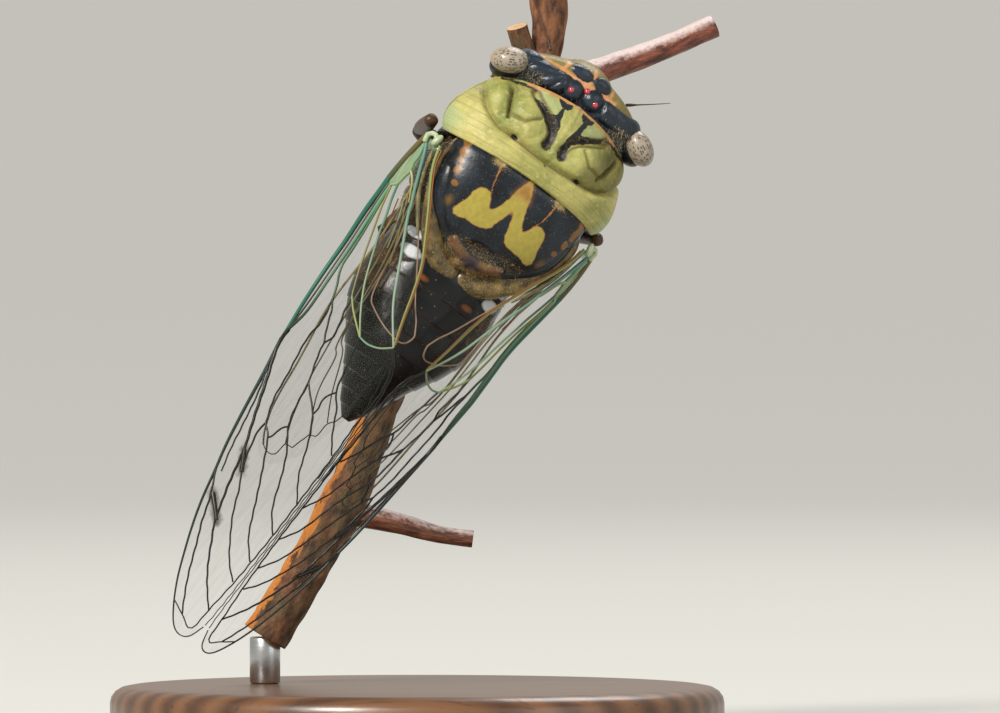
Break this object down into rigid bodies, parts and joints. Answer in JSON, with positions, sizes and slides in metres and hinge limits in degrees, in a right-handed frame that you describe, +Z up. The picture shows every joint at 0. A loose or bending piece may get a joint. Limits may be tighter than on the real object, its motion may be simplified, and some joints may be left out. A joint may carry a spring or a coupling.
{
  "type": "singing cicada on a twig perch",
  "caption": "Life-size still model of a western dusk singing cicada with folded clear wings, gripping a short cut twig on a plain wooden display stand.",
  "frame": {"origin": "centre of the flat underside of the stand's base", "axes": "+Z up, out of the base; -Y faces the viewer of the animal's back; +X to that viewer's right, the way the head leans"},
  "size_m": [0.052, 0.052, 0.0634],
  "materials": {
    "shell_black": "glossy insect cuticle",
    "shell_olive": "satin insect cuticle",
    "eye_grey": "finely faceted",
    "leg_brown": "glossy insect cuticle",
    "wing_clear": "clear membrane with green to black veins",
    "bark": "smooth young bark",
    "stand_wood": "satin varnish",
    "stand_steel": "brushed"
  },
  "bodies": {
    "root": {"head": "shell_black", "eye_left": "eye_grey", "eye_right": "eye_grey", "antenna_left": "shell_black", "antenna_right": "shell_black", "rostrum": "shell_black", "pronotum": "shell_olive", "mesonotum": "shell_black", "thorax": "shell_black", "abdomen": "shell_black", "operculum_left": "shell_black", "operculum_right": "shell_black", "forewing_left": "wing_clear", "forewing_right": "wing_clear", "hindwing_left": "wing_clear", "hindwing_right": "wing_clear", "leg_fore_left": "leg_brown", "leg_fore_right": "leg_brown", "leg_mid_left": "leg_brown", "leg_mid_right": "leg_brown", "leg_hind_left": "leg_brown", "leg_hind_right": "leg_brown", "perch_twig": "bark", "stand_base": "stand_wood", "stand_rod": "stand_steel"}
  },
  "joints": []
}
